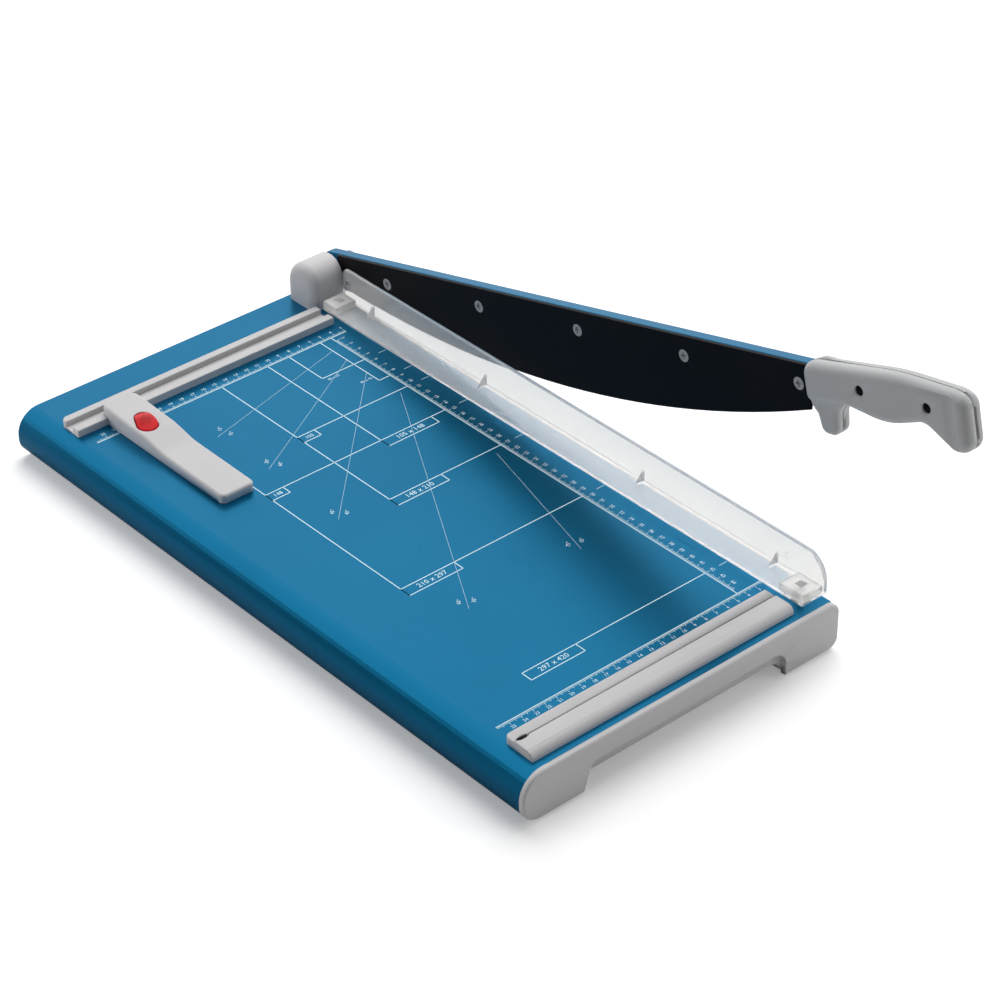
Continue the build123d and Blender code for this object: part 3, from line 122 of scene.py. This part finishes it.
# The two end caps are moulded in light grey ABS and close the ends of the bent sheet. Each has an arched
# hand hold, a thin rim round the sheet and two screws from below. Four rubber feet clip into the sheet.
def moulded(name, main, low, grain, roughness):
    # Injection-moulded plastic with spark-eroded grain, of one pit size in millimetres that is drawn coarse so
    # that it shows, a slight cloudiness, and painted shade that darkens its narrow slits and crevices
    made = blank(name)
    place = put(made, "ShaderNodeTexCoord")
    cloud = put(made, "ShaderNodeTexNoise", {"Vector": (place, "Object"), "Scale": 1000 / 35, "Detail": 3.0})
    pits = put(made, "ShaderNodeTexNoise", {"Vector": (place, "Object"), "Scale": 1000 / grain, "Detail": 2.0})
    clean = put(made, "ShaderNodeMix", {0: (cloud, "Fac"), 6: colour(main), 7: colour(low)}, data_type="RGBA")
    # Painted shade: where the part's own faces close round a point, its colour is darkened towards near black
    nook = put(made, "ShaderNodeAmbientOcclusion", {"Distance": 8 * MM}, samples=6, only_local=True)
    painted_crevice_shade = put(made, "ShaderNodeMapRange", {
        "Value": (nook, "AO"), "From Min": 0.25, "From Max": 0.48, "To Min": 1.0, "To Max": 0.0})
    tone = put(made, "ShaderNodeMix", {0: (painted_crevice_shade, "Result"), 6: (clean, 2), 7: colour("#1E1E1F")},
               data_type="RGBA")
    dull = put(made, "ShaderNodeMapRange", {
        "Value": (pits, "Fac"), "To Min": roughness - 0.07, "To Max": roughness + 0.07})
    bump = put(made, "ShaderNodeBump", {"Height": (pits, "Fac"), "Strength": 0.3, "Distance": 0.05 * MM})
    shader = put(made, "ShaderNodeBsdfPrincipled", {
        "Base Color": (tone, 2), "Roughness": (dull, "Result"), "Normal": (bump, "Normal"),
        "Specular IOR Level": 0.35})
    put(made, "ShaderNodeOutputMaterial", {"Surface": (shader, "BSDF")})
    return made


grey_abs = moulded("light_grey_abs", "#C9C8C9", "#C1C0C2", 0.7, 0.46)
dress("front_end_cap", grey_abs, "base")
dress("rear_end_cap", grey_abs, "base")

# Rubber: black, matt, with a fine dusty bloom
rubber = moulded("black_rubber", "#1B1B1C", "#242425", 1.1, 0.82)
for corner in ("foot_front_left", "foot_front_right", "foot_rear_left", "foot_rear_right"):
    dress(corner, rubber, "base")


# The counter knife is a ground bar of tool steel, screwed through the flange into a steel beam under the
# sheet. Its long edge at the top right is the fixed half of the shear.
def steel(name, main, low, lines, roughness):
    # Bright steel with grinding lines along Y, of one line width in millimetres, drawn coarse so that they show
    made = blank(name)
    place = put(made, "ShaderNodeTexCoord")
    along = put(made, "ShaderNodeMapping", {"Vector": (place, "Object"), "Scale": Vector((1.0, 0.02, 1.0))})
    streak = put(made, "ShaderNodeTexNoise", {
        "Vector": (along, "Vector"), "Scale": 1000 / lines, "Detail": 3.0})
    stain = put(made, "ShaderNodeTexNoise", {"Vector": (place, "Object"), "Scale": 1000 / 22, "Detail": 3.0})
    tone = put(made, "ShaderNodeMix", {0: (stain, "Fac"), 6: colour(main), 7: colour(low)}, data_type="RGBA")
    dull = put(made, "ShaderNodeMapRange", {
        "Value": (streak, "Fac"), "To Min": roughness - 0.1, "To Max": roughness + 0.1})
    bump = put(made, "ShaderNodeBump", {"Height": (streak, "Fac"), "Strength": 0.15, "Distance": 0.01 * MM})
    shader = put(made, "ShaderNodeBsdfPrincipled", {
        "Base Color": (tone, 2), "Metallic": 1.0, "Roughness": (dull, "Result"), "Normal": (bump, "Normal")})
    put(made, "ShaderNodeOutputMaterial", {"Surface": (shader, "BSDF")})
    return made


ground_steel = steel("ground_tool_steel", "#B9BABD", "#A6A7AA", 0.4, 0.3)
zinc_steel = steel("zinc_plated_steel", "#C2C4C6", "#AEB0B2", 0.8, 0.34)
dress("counter_knife", ground_steel, "base")
for hidden in ("counter_knife_screws", "knife_beam", "end_cap_screws"):
    dress(hidden, zinc_steel, "base")


# The scales and paper outlines are screen-printed in white ink, a film a few hundredths of a millimetre
# thick: three rulers from the cutting edge, sheet outlines with their sizes, two card outlines and rays at
# every fifteen degrees.
ink = blank("white_screen_ink")
place = put(ink, "ShaderNodeTexCoord")
cover = put(ink, "ShaderNodeTexNoise", {"Vector": (place, "Object"), "Scale": 1000 / 2.5, "Detail": 2.0})
film = put(ink, "ShaderNodeMix", {0: (cover, "Fac"), 6: colour("#E6F8FF"), 7: colour("#CDF0F9")},
           data_type="RGBA")
shader = put(ink, "ShaderNodeBsdfPrincipled", {"Base Color": (film, 2), "Roughness": 0.55})
put(ink, "ShaderNodeOutputMaterial", {"Surface": (shader, "BSDF")})

edge_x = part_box("counter_knife")[1].x
stop_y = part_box("rear_guide_rail")[0].y
top_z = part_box("table_top")[1].z
INK = 0.03


def bar(print_, x0, y0, x1, y1, width):
    # One straight printed line, its ends in millimetres from the cutting edge and the rear stop
    middle = Vector((edge_x + (x0 + x1) / 2 * MM, stop_y + (y0 + y1) / 2 * MM, top_z + INK / 4 * MM))
    turn = Matrix.Rotation(math.atan2(y1 - y0, x1 - x0), 4, "Z")
    size = Matrix.Diagonal((math.hypot(x1 - x0, y1 - y0) * MM, width * MM, INK * MM, 1.0))
    bmesh.ops.create_cube(print_, size=1.0, matrix=Matrix.Translation(middle) @ turn @ size)


def figures(print_, words, x, y, height, turn=0.0, align="CENTER"):
    # Printed figures about a point, turned by some degrees from the X axis
    text = bpy.data.curves.new("figures", "FONT")
    text.body = words
    text.align_x = align
    text.align_y = "CENTER"
    text.resolution_u = 2
    text.size = height / 0.7 * MM
    text.extrude = INK / 2 * MM
    holder = bpy.data.objects.new("figures", text)
    mesh = bpy.data.meshes.new_from_object(holder)
    place = Vector((edge_x + x * MM, stop_y + y * MM, top_z + INK / 4 * MM))
    mesh.transform(Matrix.Translation(place) @ Matrix.Rotation(math.radians(turn), 4, "Z"))
    print_.from_mesh(mesh)
    bpy.data.objects.remove(holder)
    bpy.data.curves.remove(text)
    bpy.data.meshes.remove(mesh)


def print_piece(name, print_):
    bmesh.ops.remove_doubles(print_, verts=print_.verts, dist=0.0005 * MM)
    bmesh.ops.recalc_face_normals(print_, faces=print_.faces)
    mesh = bpy.data.meshes.new(name)
    print_.to_mesh(mesh)
    print_.free()
    mesh.materials.append(ink)
    piece = bpy.data.objects.new(name, mesh)
    bpy.context.scene.collection.objects.link(piece)
    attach(piece, "base")


# Widths of the lines, and the places of the long ruler, the rear one and the front one, in millimetres
LINE, TICK, RAY = 0.75, 0.35, 0.2
RULER_X, REAR_Y, FRONT_Y = -44.5, -14.5, -451
scales = bmesh.new()
numbers = bmesh.new()
# The long ruler runs beside the cutting edge, with its millimetres on the right
bar(scales, RULER_X, REAR_Y, RULER_X, FRONT_Y, LINE)
for mm in range(20, 447):
    reach = 4.2 if mm % 10 == 0 else 3.2 if mm % 5 == 0 else 2.2
    bar(scales, RULER_X, -mm, RULER_X + reach, -mm, TICK)
for cm in range(2, 45):
    figures(numbers, str(cm), -37.6, -cm * 10, 2.9, -90)
# The cross rulers lie along the rear rail and along the front strip
for base_y, side, first in ((REAR_Y, 1, 30), (FRONT_Y, -1, 20)):
    bar(scales, -259.5, base_y, -30 if side > 0 else -20, base_y, LINE)
    for mm in range(first, 260):
        reach = 4.0 if mm % 10 == 0 else 3.0 if mm % 5 == 0 else 2.0
        bar(scales, -mm, base_y, -mm, base_y + side * reach, TICK)
    for cm in range(first // 10, 26):
        figures(numbers, str(cm), -cm * 10, base_y + side * 6.6, 2.7)
# Short marks at the sheet sizes, beside the guard
for mm in (55, 85, 105, 148, 210, 297, 420):
    bar(scales, -31, -mm, -24, -mm, 0.5)
print_piece("ruler_lines", scales)

outlines = bmesh.new()
for x, y in ((-105, -148), (-148, -210), (-210, -297)):
    bar(outlines, x, REAR_Y, x, y - 9.5, LINE)
for y, x in ((-105, -148), (-148, -210), (-210, -148), (-297, -210), (-420, -210)):
    bar(outlines, RULER_X, y, x, y, LINE)
# A box at the corner of each outline holds its size
for x, y, words in ((-105, -148, "105 x 148"), (-148, -210, "148 x 210"), (-210, -297, "210 x 297"),
                    (-210, -420, "297 x 420")):
    bar(outlines, x, y, x, y - 9.8, LINE)
    bar(outlines, x, y - 9.5, x + 47, y - 9.5, LINE)
    bar(outlines, x + 47, y, x + 47, y - 9.8, LINE)
    figures(numbers, words, x + 23.5, y - 4.9, 4.4)
for x, y, words in ((-148, -105, "105"), (-210, -148, "148")):
    bar(outlines, x, y, x, y - 8.8, LINE)
    bar(outlines, x, y - 8.5, x + 15.5, y - 8.5, LINE)
    bar(outlines, x + 15.5, y, x + 15.5, y - 8.8, LINE)
    figures(numbers, words, x + 7.8, y - 4.4, 3.6)
# Two card outlines, one upright and one lying
for x, y in ((-85, -55), (-55, -85)):
    bar(outlines, x, REAR_Y, x, y - 0.3, LINE)
    bar(outlines, x - 0.3, y, RULER_X, y, LINE)
for x, y in ((-77.5, -59.2), (-62, -78.5)):
    figures(numbers, "85 x 55", x, y, 2.4)
# Rays from the corner of the rear ruler and the cutting edge
for angle, reach in ((15, -190), (30, -188), (45, -190), (60, -190), (75, -88)):
    slope = math.tan(math.radians(angle))
    start = -54
    bar(outlines, start, -15 + start * slope, reach, -15 + reach * slope, RAY)
    side = Vector((math.sin(math.radians(angle)), -math.cos(math.radians(angle)))) * 5.2
    middle = Vector((reach, -15 + reach * slope)) + Vector((-side.y, side.x)) * 9 / side.length
    for sign, words in ((-1, str(angle)), (1, str(90 - angle))):
        figures(numbers, words + "°", middle.x + sign * side.x, middle.y + sign * side.y, 2.9, 45)
print_piece("sheet_outlines", outlines)
print_piece("printed_figures", numbers)


# The rear guide rail and the front guide strip are moulded in the same grey ABS. The rail has a slot for
# the backstop behind its fence, and the strip a narrow slit. Both are screwed on from under the sheet.
dress("rear_guide_rail", grey_abs, "base")
dress("front_guide_strip", grey_abs, "base")
dress("rail_screws", zinc_steel, "base")


# The pivot sits at the rear right: a steel bracket bolted through the sheet, and a bolt that carries the
# arm between a spacer, a bronze washer, a disc spring and a lock nut. A moulded cover hides the bracket.
dress("pivot_cover", grey_abs, "base")
bronze = steel("sintered_bronze", "#B08A56", "#98743F", 0.6, 0.4)
spring_steel = steel("oiled_spring_steel", "#7C7D80", "#63646A", 0.5, 0.36)
for node in ("pivot_bracket", "bracket_bolts", "pivot_bolt", "pivot_spacer", "pivot_nut"):
    dress(node, zinc_steel, "base")
dress("friction_washer", bronze, "base")
dress("disc_spring", spring_steel, "base")


# The guard is moulded in clear polycarbonate that has a milky tint: a flange that presses on the paper and
# an upright web that keeps fingers from the blade, with four small gussets. It floats on two sprung pins.
def polycarbonate(name, clearness, roughness):
    # Clear plastic with a milky haze and fine scuffs; light passes it, so that it throws a weak shadow and
    # hardly shows in the lacquer's sheen
    made = blank(name)
    place = put(made, "ShaderNodeTexCoord")
    haze = put(made, "ShaderNodeTexNoise", {"Vector": (place, "Object"), "Scale": 1000 / 40, "Detail": 3.0})
    scuff = put(made, "ShaderNodeTexNoise", {"Vector": (place, "Object"), "Scale": 1000 / 3, "Detail": 3.0})
    tone = put(made, "ShaderNodeMix", {0: (haze, "Fac"), 6: colour("#FCFBF9"), 7: colour("#F5F4F2")},
               data_type="RGBA")
    polish = put(made, "ShaderNodeMapRange", {
        "Value": (scuff, "Fac"), "To Min": roughness - 0.05, "To Max": roughness + 0.05})
    shader = put(made, "ShaderNodeBsdfPrincipled", {
        "Base Color": (tone, 2), "Roughness": (polish, "Result"), "IOR": 1.5, "Transmission Weight": clearness,
        "Coat Weight": 0.3, "Coat Roughness": 0.05})
    path = put(made, "ShaderNodeLightPath")
    mirrored = put(made, "ShaderNodeMath", {0: (path, "Is Glossy Ray"), 1: (path, "Is Transmission Ray")},
                   operation="SUBTRACT", use_clamp=True)
    passing = put(made, "ShaderNodeMath", {0: (path, "Is Shadow Ray"), 1: (mirrored, 0)}, operation="MAXIMUM")
    weak = put(made, "ShaderNodeMath", {0: (passing, 0), 1: 0.75}, operation="MULTIPLY")
    through = put(made, "ShaderNodeBsdfTransparent")
    both = put(made, "ShaderNodeMixShader", {0: (weak, 0), 1: (shader, 0), 2: (through, 0)})
    put(made, "ShaderNodeOutputMaterial", {"Surface": (both, 0)})
    return made


clear_sheet = polycarbonate("clear_polycarbonate", 0.74, 0.1)
milky_block = polycarbonate("milky_polycarbonate", 0.62, 0.2)
dress("guard", clear_sheet, "guard")
dress("guard_front_block", milky_block, "guard")
dress("guard_rear_block", milky_block, "guard")
# Zinc-flake coat: a thin matt grey paint on pins and screws
zinc_flake = moulded("zinc_flake_coat", "#A9AAAC", "#97989A", 0.6, 0.5)


def spring(node, body):
    # A coil of spring steel, dressed with a mesh of its own on the given body
    coil = dress(node, spring_steel, body)
    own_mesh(coil)


for end in ("front", "rear"):
    dress(f"guard_{end}_pin", zinc_flake, "base")
    spring(f"guard_{end}_spring", "base")


# The arm is a flat steel bar in the same blue lacquer, and the curved blade is screwed to its left side. The
# blade has a black non-stick coat, so only its ground edge stays bright. Five countersunk screws hold it.
black_coat = blank("black_coated_steel")
place = put(black_coat, "ShaderNodeTexCoord")
wipe = put(black_coat, "ShaderNodeTexNoise", {"Vector": (place, "Object"), "Scale": 1000 / 60, "Detail": 4.0})
grit = put(black_coat, "ShaderNodeTexNoise", {"Vector": (place, "Object"), "Scale": 1000 / 0.9, "Detail": 2.0})
coat_tone = put(black_coat, "ShaderNodeMix", {0: (wipe, "Fac"), 6: colour("#0A090B"), 7: colour("#151114")},
                data_type="RGBA")
coat_dull = put(black_coat, "ShaderNodeMapRange", {"Value": (wipe, "Fac"), "To Min": 0.36, "To Max": 0.5})
coat_bump = put(black_coat, "ShaderNodeBump", {
    "Height": (grit, "Fac"), "Strength": 0.15, "Distance": 0.02 * MM})
shader = put(black_coat, "ShaderNodeBsdfPrincipled", {
    "Base Color": (coat_tone, 2), "Roughness": (coat_dull, "Result"), "Normal": (coat_bump, "Normal"),
    "Specular IOR Level": 0.1})
put(black_coat, "ShaderNodeOutputMaterial", {"Surface": (shader, "BSDF")})
dress("blade_arm", lacquer, "arm")
dress("upper_blade", black_coat, "arm")
dress("blade_screws", zinc_flake, "arm")
dress("pivot_bush", bronze, "arm")


# The handle is two shells of mid grey ABS with a coarser grain, screwed together round the bar's tang. The
# seam between them runs round the grip, and a lug in front of the blade keeps the fingers in place.
grip_abs = moulded("mid_grey_abs", "#BEBFC0", "#B5B6B7", 0.9, 0.5)
dress("handle_left_half", grip_abs, "arm")
dress("handle_right_half", grip_abs, "arm")
dress("handle_screws", black_coat, "arm")
dress("handle_nuts", zinc_steel, "arm")


# The backstop slides along the rear rail. It is grey ABS with a steel plate below, and a red button presses
# a sprung steel lever that frees it.
dress("backstop_arm", grey_abs, "backstop")
dress("backstop_plate", zinc_steel, "backstop")
dress("lever_pin", zinc_steel, "backstop")
dress("clamp_lever", zinc_steel, "lever")
spring("button_spring", "backstop")

# Red ABS: glossy, tinted through, mottled at random, with a painted dark reflection in the middle of the
# button's top
red_abs = blank("red_abs")
place = put(red_abs, "ShaderNodeTexCoord")
mottle = put(red_abs, "ShaderNodeTexNoise", {"Vector": (place, "Object"), "Scale": 1000 / 4, "Detail": 3.0})
button_low, button_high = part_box("release_button")
away = put(red_abs, "ShaderNodeVectorMath", {0: (place, "Object"), 1: (button_low + button_high) / 2},
           operation="DISTANCE")
# Painted reflection: the button's colour darkens towards its middle, as if it mirrored dark surroundings
reflection_middle_weight = put(red_abs, "ShaderNodeMapRange", {
    "Value": (away, "Value"), "From Min": 3 * MM, "From Max": 9 * MM, "To Min": 1.3, "To Max": 0.2})
mottle_and_painted_reflection = put(red_abs, "ShaderNodeMath", {0: (mottle, "Fac"), 1: (reflection_middle_weight, "Result")}, operation="MULTIPLY")
red_tone = put(red_abs, "ShaderNodeMix", {0: (mottle_and_painted_reflection, 0), 6: colour("#D8232A"), 7: colour("#74060C")},
               data_type="RGBA")
red_gloss = put(red_abs, "ShaderNodeMapRange", {"Value": (mottle, "Fac"), "To Min": 0.28, "To Max": 0.42})
shader = put(red_abs, "ShaderNodeBsdfPrincipled", {
    "Base Color": (red_tone, 2), "Roughness": (red_gloss, "Result"), "Specular IOR Level": 0.2})
put(red_abs, "ShaderNodeOutputMaterial", {"Surface": (shader, "BSDF")})
dress("release_button", red_abs, "button")


# The studio is a white floor in a white room, with one large soft lamp overhead and two weak ones near the
# floor. The floor is white to the camera and keeps the soft shadow under the cutter.
floor_white = blank("white_floor_paper")
path = put(floor_white, "ShaderNodeLightPath")
seen = put(floor_white, "ShaderNodeMath", {0: (path, "Is Camera Ray"), 1: (path, "Is Transmission Ray")},
           operation="MAXIMUM")
lift = put(floor_white, "ShaderNodeMath", {0: (seen, 0), 1: 0.26}, operation="MULTIPLY")
# In the lacquer's sheen the floor shows darker, as a set does beyond its lit middle
sheen = put(floor_white, "ShaderNodeMath", {0: (path, "Is Glossy Ray"), 1: (path, "Is Transmission Ray")},
            operation="SUBTRACT", use_clamp=True)
tone = put(floor_white, "ShaderNodeMix", {0: (sheen, 0), 6: colour("#F4F4F4"), 7: colour("#949498")},
           data_type="RGBA")
paper = put(floor_white, "ShaderNodeBsdfDiffuse", {"Color": (tone, 2)})
glow = put(floor_white, "ShaderNodeEmission", {"Color": colour("#FFFFFF"), "Strength": (lift, 0)})
both = put(floor_white, "ShaderNodeAddShader", {0: (paper, 0), 1: (glow, 0)})
put(floor_white, "ShaderNodeOutputMaterial", {"Surface": (both, 0)})
ground = bmesh.new()
bmesh.ops.create_grid(ground, x_segments=1, y_segments=1, size=8.0)
floor_mesh = bpy.data.meshes.new("floor")
ground.to_mesh(floor_mesh)
ground.free()
floor_mesh.materials.append(floor_white)
floor = bpy.data.objects.new("floor", floor_mesh)
bpy.context.scene.collection.objects.link(floor)

world = bpy.data.worlds.new("white_room")
world.use_nodes = True
world.node_tree.nodes.clear()
bpy.context.scene.world = world
path = put(world, "ShaderNodeLightPath")
seen = put(world, "ShaderNodeMath", {0: (path, "Is Camera Ray"), 1: (path, "Is Glossy Ray")},
           operation="MAXIMUM")
shown = put(world, "ShaderNodeMath", {0: (seen, 0), 1: (path, "Is Transmission Ray")}, operation="MAXIMUM")
level = put(world, "ShaderNodeMapRange", {"Value": (shown, 0), "To Min": 0.12, "To Max": 1.0})
air = put(world, "ShaderNodeBackground", {"Color": colour("#FFFFFF"), "Strength": (level, "Result")})
put(world, "ShaderNodeOutputWorld", {"Surface": (air, "Background")})

aim = Vector((edge_x - 130 * MM, stop_y - 250 * MM, top_z))
for name, offset, size, power in (("overhead_lamp", (0.95, 0.65, 1.75), 2.4, 62.0),
                                  ("side_lamp", (-0.85, 0.65, 0.2), 0.5, 3.4),
                                  ("front_lamp", (0.9, -0.95, 0.3), 0.6, 4.0)):
    lamp = bpy.data.lights.new(name, "AREA")
    lamp.size = size
    lamp.energy = power
    holder = bpy.data.objects.new(name, lamp)
    holder.location = aim + Vector(offset)
    holder.visible_glossy = False
    holder.visible_camera = False
    holder.rotation_euler = (-Vector(offset)).to_track_quat("-Z", "Y").to_euler()
    bpy.context.scene.collection.objects.link(holder)

# A grey card stands at the left and shows only in reflections, as a navy band in the rounded nose
card_grey = blank("grey_card")
board = put(card_grey, "ShaderNodeBsdfDiffuse", {"Color": colour("#58585C")})
put(card_grey, "ShaderNodeOutputMaterial", {"Surface": (board, 0)})
sheet = bmesh.new()
nose_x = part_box("table_top")[0].x
stand = Matrix.Translation((nose_x - 0.95, stop_y + 0.6, 0.42)) @ Matrix.Diagonal((0.004, 1.1, 0.84, 1.0))
bmesh.ops.create_cube(sheet, size=1.0, matrix=stand)
card_mesh = bpy.data.meshes.new("grey_card")
sheet.to_mesh(card_mesh)
sheet.free()
card_mesh.materials.append(card_grey)
card = bpy.data.objects.new("grey_card", card_mesh)
card.visible_camera = card.visible_diffuse = card.visible_transmission = card.visible_shadow = False
bpy.context.scene.collection.objects.link(card)

eye = bpy.data.cameras.new("photo_camera")
eye.sensor_width = 36.0
eye.lens = 111.9
eye.clip_end = 20.0
camera = bpy.data.objects.new("photo_camera", eye)
camera.location = Vector((edge_x, stop_y, top_z)) + Vector((-1.26165, -1.61557, 1.24051))
camera.rotation_euler = [math.radians(a) for a in (55.2715, 0.4286, -41.1586)]
bpy.context.scene.collection.objects.link(camera)
bpy.context.scene.camera = camera
bpy.context.scene.view_settings.view_transform = "Standard"
